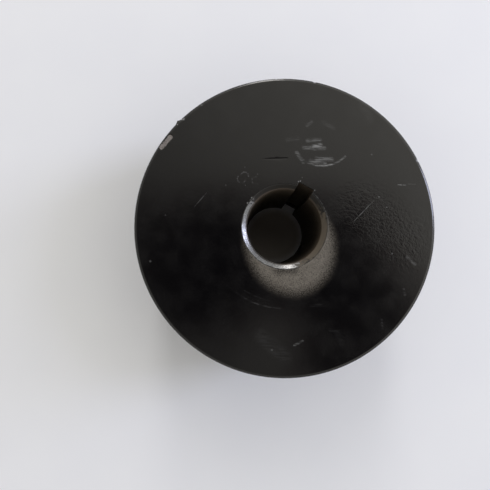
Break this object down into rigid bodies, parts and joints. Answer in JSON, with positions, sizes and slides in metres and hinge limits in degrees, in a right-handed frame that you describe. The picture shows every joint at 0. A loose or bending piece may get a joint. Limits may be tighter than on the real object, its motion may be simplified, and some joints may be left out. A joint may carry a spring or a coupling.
{
  "type": "v-belt pulley",
  "caption": "Solid V-belt pulley with B-section grooves, a keyed straight bore through a plain flush face, and socket set screws in a short hub on the other side.",
  "frame": {"origin": "centre of the hub's end face, on the bore axis; the pulley stands on this face", "axes": "+Z along the bore axis, out of the plain flush face; +Y from the axis through the keyway and the set screw over it; +X through the second set screw"},
  "size_m": [0.1142, 0.1142, 0.0571],
  "materials": {
    "black_enamel_iron": "gloss black enamel, with the bore, keyway and bore chamfers left as bare turned iron",
    "blackened_steel": "black oxide, lightly oiled"
  },
  "bodies": {
    "pulley": {"pulley_body": "black_enamel_iron"},
    "key_screw": {"key_set_screw": "blackened_steel"},
    "shaft_screw": {"shaft_set_screw": "blackened_steel"}
  },
  "joints": [
    {"name": "key_screw_travel", "type": "slide", "parent": "pulley", "child": "key_screw", "axis": [0, 1, 0], "range_m": [-0.00141, 0.01129]},
    {"name": "shaft_screw_travel", "type": "slide", "parent": "pulley", "child": "shaft_screw", "axis": [1, 0, 0], "range_m": [-0.00141, 0.01411]}
  ]
}
